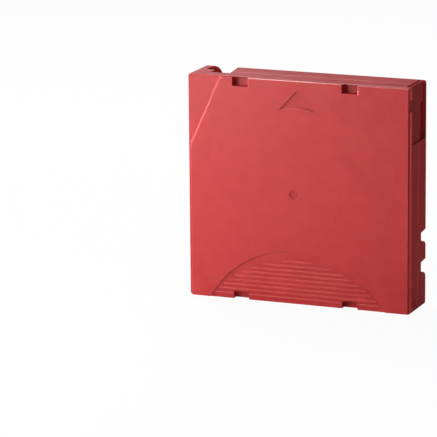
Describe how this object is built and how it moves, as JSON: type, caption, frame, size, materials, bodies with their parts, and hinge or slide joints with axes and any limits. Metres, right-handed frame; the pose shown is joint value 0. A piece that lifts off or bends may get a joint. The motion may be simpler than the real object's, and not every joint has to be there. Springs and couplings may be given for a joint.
{
  "type": "data tape cartridge",
  "caption": "Single-reel half-inch data tape cartridge, standing on its label side, with sliding tape door, reel, reel brake and write-protect switch.",
  "frame": {"origin": "middle of the rear (label) side that the cartridge stands on", "axes": "+X across the width to the door side, +Y through the thickness to the underside with the hub opening, +Z in the insertion direction, up"},
  "size_m": [0.1054, 0.0216, 0.102],
  "materials": {
    "case_plastic": "fine-textured moulded polycarbonate, dark red",
    "door_plastic": "moulded plastic, dark red, slightly smoother than the case",
    "spring_steel": "drawn spring wire and strip",
    "pin_steel": "turned stainless steel",
    "clip_plastic": "moulded plastic, off-white",
    "leader_film": "leader film, dark",
    "tape": "wound magnetic tape, dark brown, satin",
    "reel_plastic": "moulded plastic, natural grey-white",
    "plate_steel": "stamped stainless washer",
    "brake_plastic": "moulded acetal, dark grey",
    "pad_plastic": "moulded acetal, white",
    "switch_plastic": "moulded plastic, orange-red",
    "board": "printed circuit board, green",
    "chip": "potting, black",
    "screw_steel": "dark zinc-plated steel"
  },
  "bodies": {
    "case": {"upper_case": "case_plastic", "lower_case": "case_plastic", "door_spring": "spring_steel", "leader_pin": "pin_steel", "leader_pin_clip": "clip_plastic", "pin_retainer_spring": "spring_steel", "leader_tape": "leader_film", "brake_spring": "spring_steel", "memory_board": "board", "memory_chip": "chip", "case_screw_1": "screw_steel", "case_screw_2": "screw_steel", "case_screw_3": "screw_steel", "case_screw_4": "screw_steel"},
    "door": {"door": "door_plastic"},
    "reel": {"tape_pack": "tape", "reel_hub": "reel_plastic", "reel_upper_flange": "reel_plastic", "reel_plate": "plate_steel"},
    "brake": {"brake_disc": "brake_plastic"},
    "release_pad": {"release_pad": "pad_plastic"},
    "write_protect": {"write_protect_switch": "switch_plastic"}
  },
  "joints": [
    {"name": "door_slide", "type": "slide", "parent": "case", "child": "door", "axis": [0, 0, -1], "range_m": [0, 0.025], "stiffness_N_per_m": 10, "springref_m": -0.02, "deforming": ["door_spring"]},
    {"name": "reel_spin", "type": "hinge", "parent": "case", "child": "reel", "pos_m": [-0.0018, 0, 0.0504], "axis": [0, 1, 0], "continuous": true},
    {"name": "brake_lift", "type": "slide", "parent": "case", "child": "brake", "axis": [0, -1, 0], "range_m": [0, 0.0017], "stiffness_N_per_m": 800, "springref_m": -0.006, "deforming": ["brake_spring"]},
    {"name": "release_pad_lift", "type": "slide", "parent": "reel", "child": "release_pad", "axis": [0, -1, 0], "range_m": [0, 0.0017]},
    {"name": "write_protect_slide", "type": "slide", "parent": "case", "child": "write_protect", "axis": [1, 0, 0], "range_m": [0, 0.0042]}
  ],
  "couplings": [
    {"joint": "release_pad_lift", "follows": "brake_lift", "ratio": 1}
  ]
}
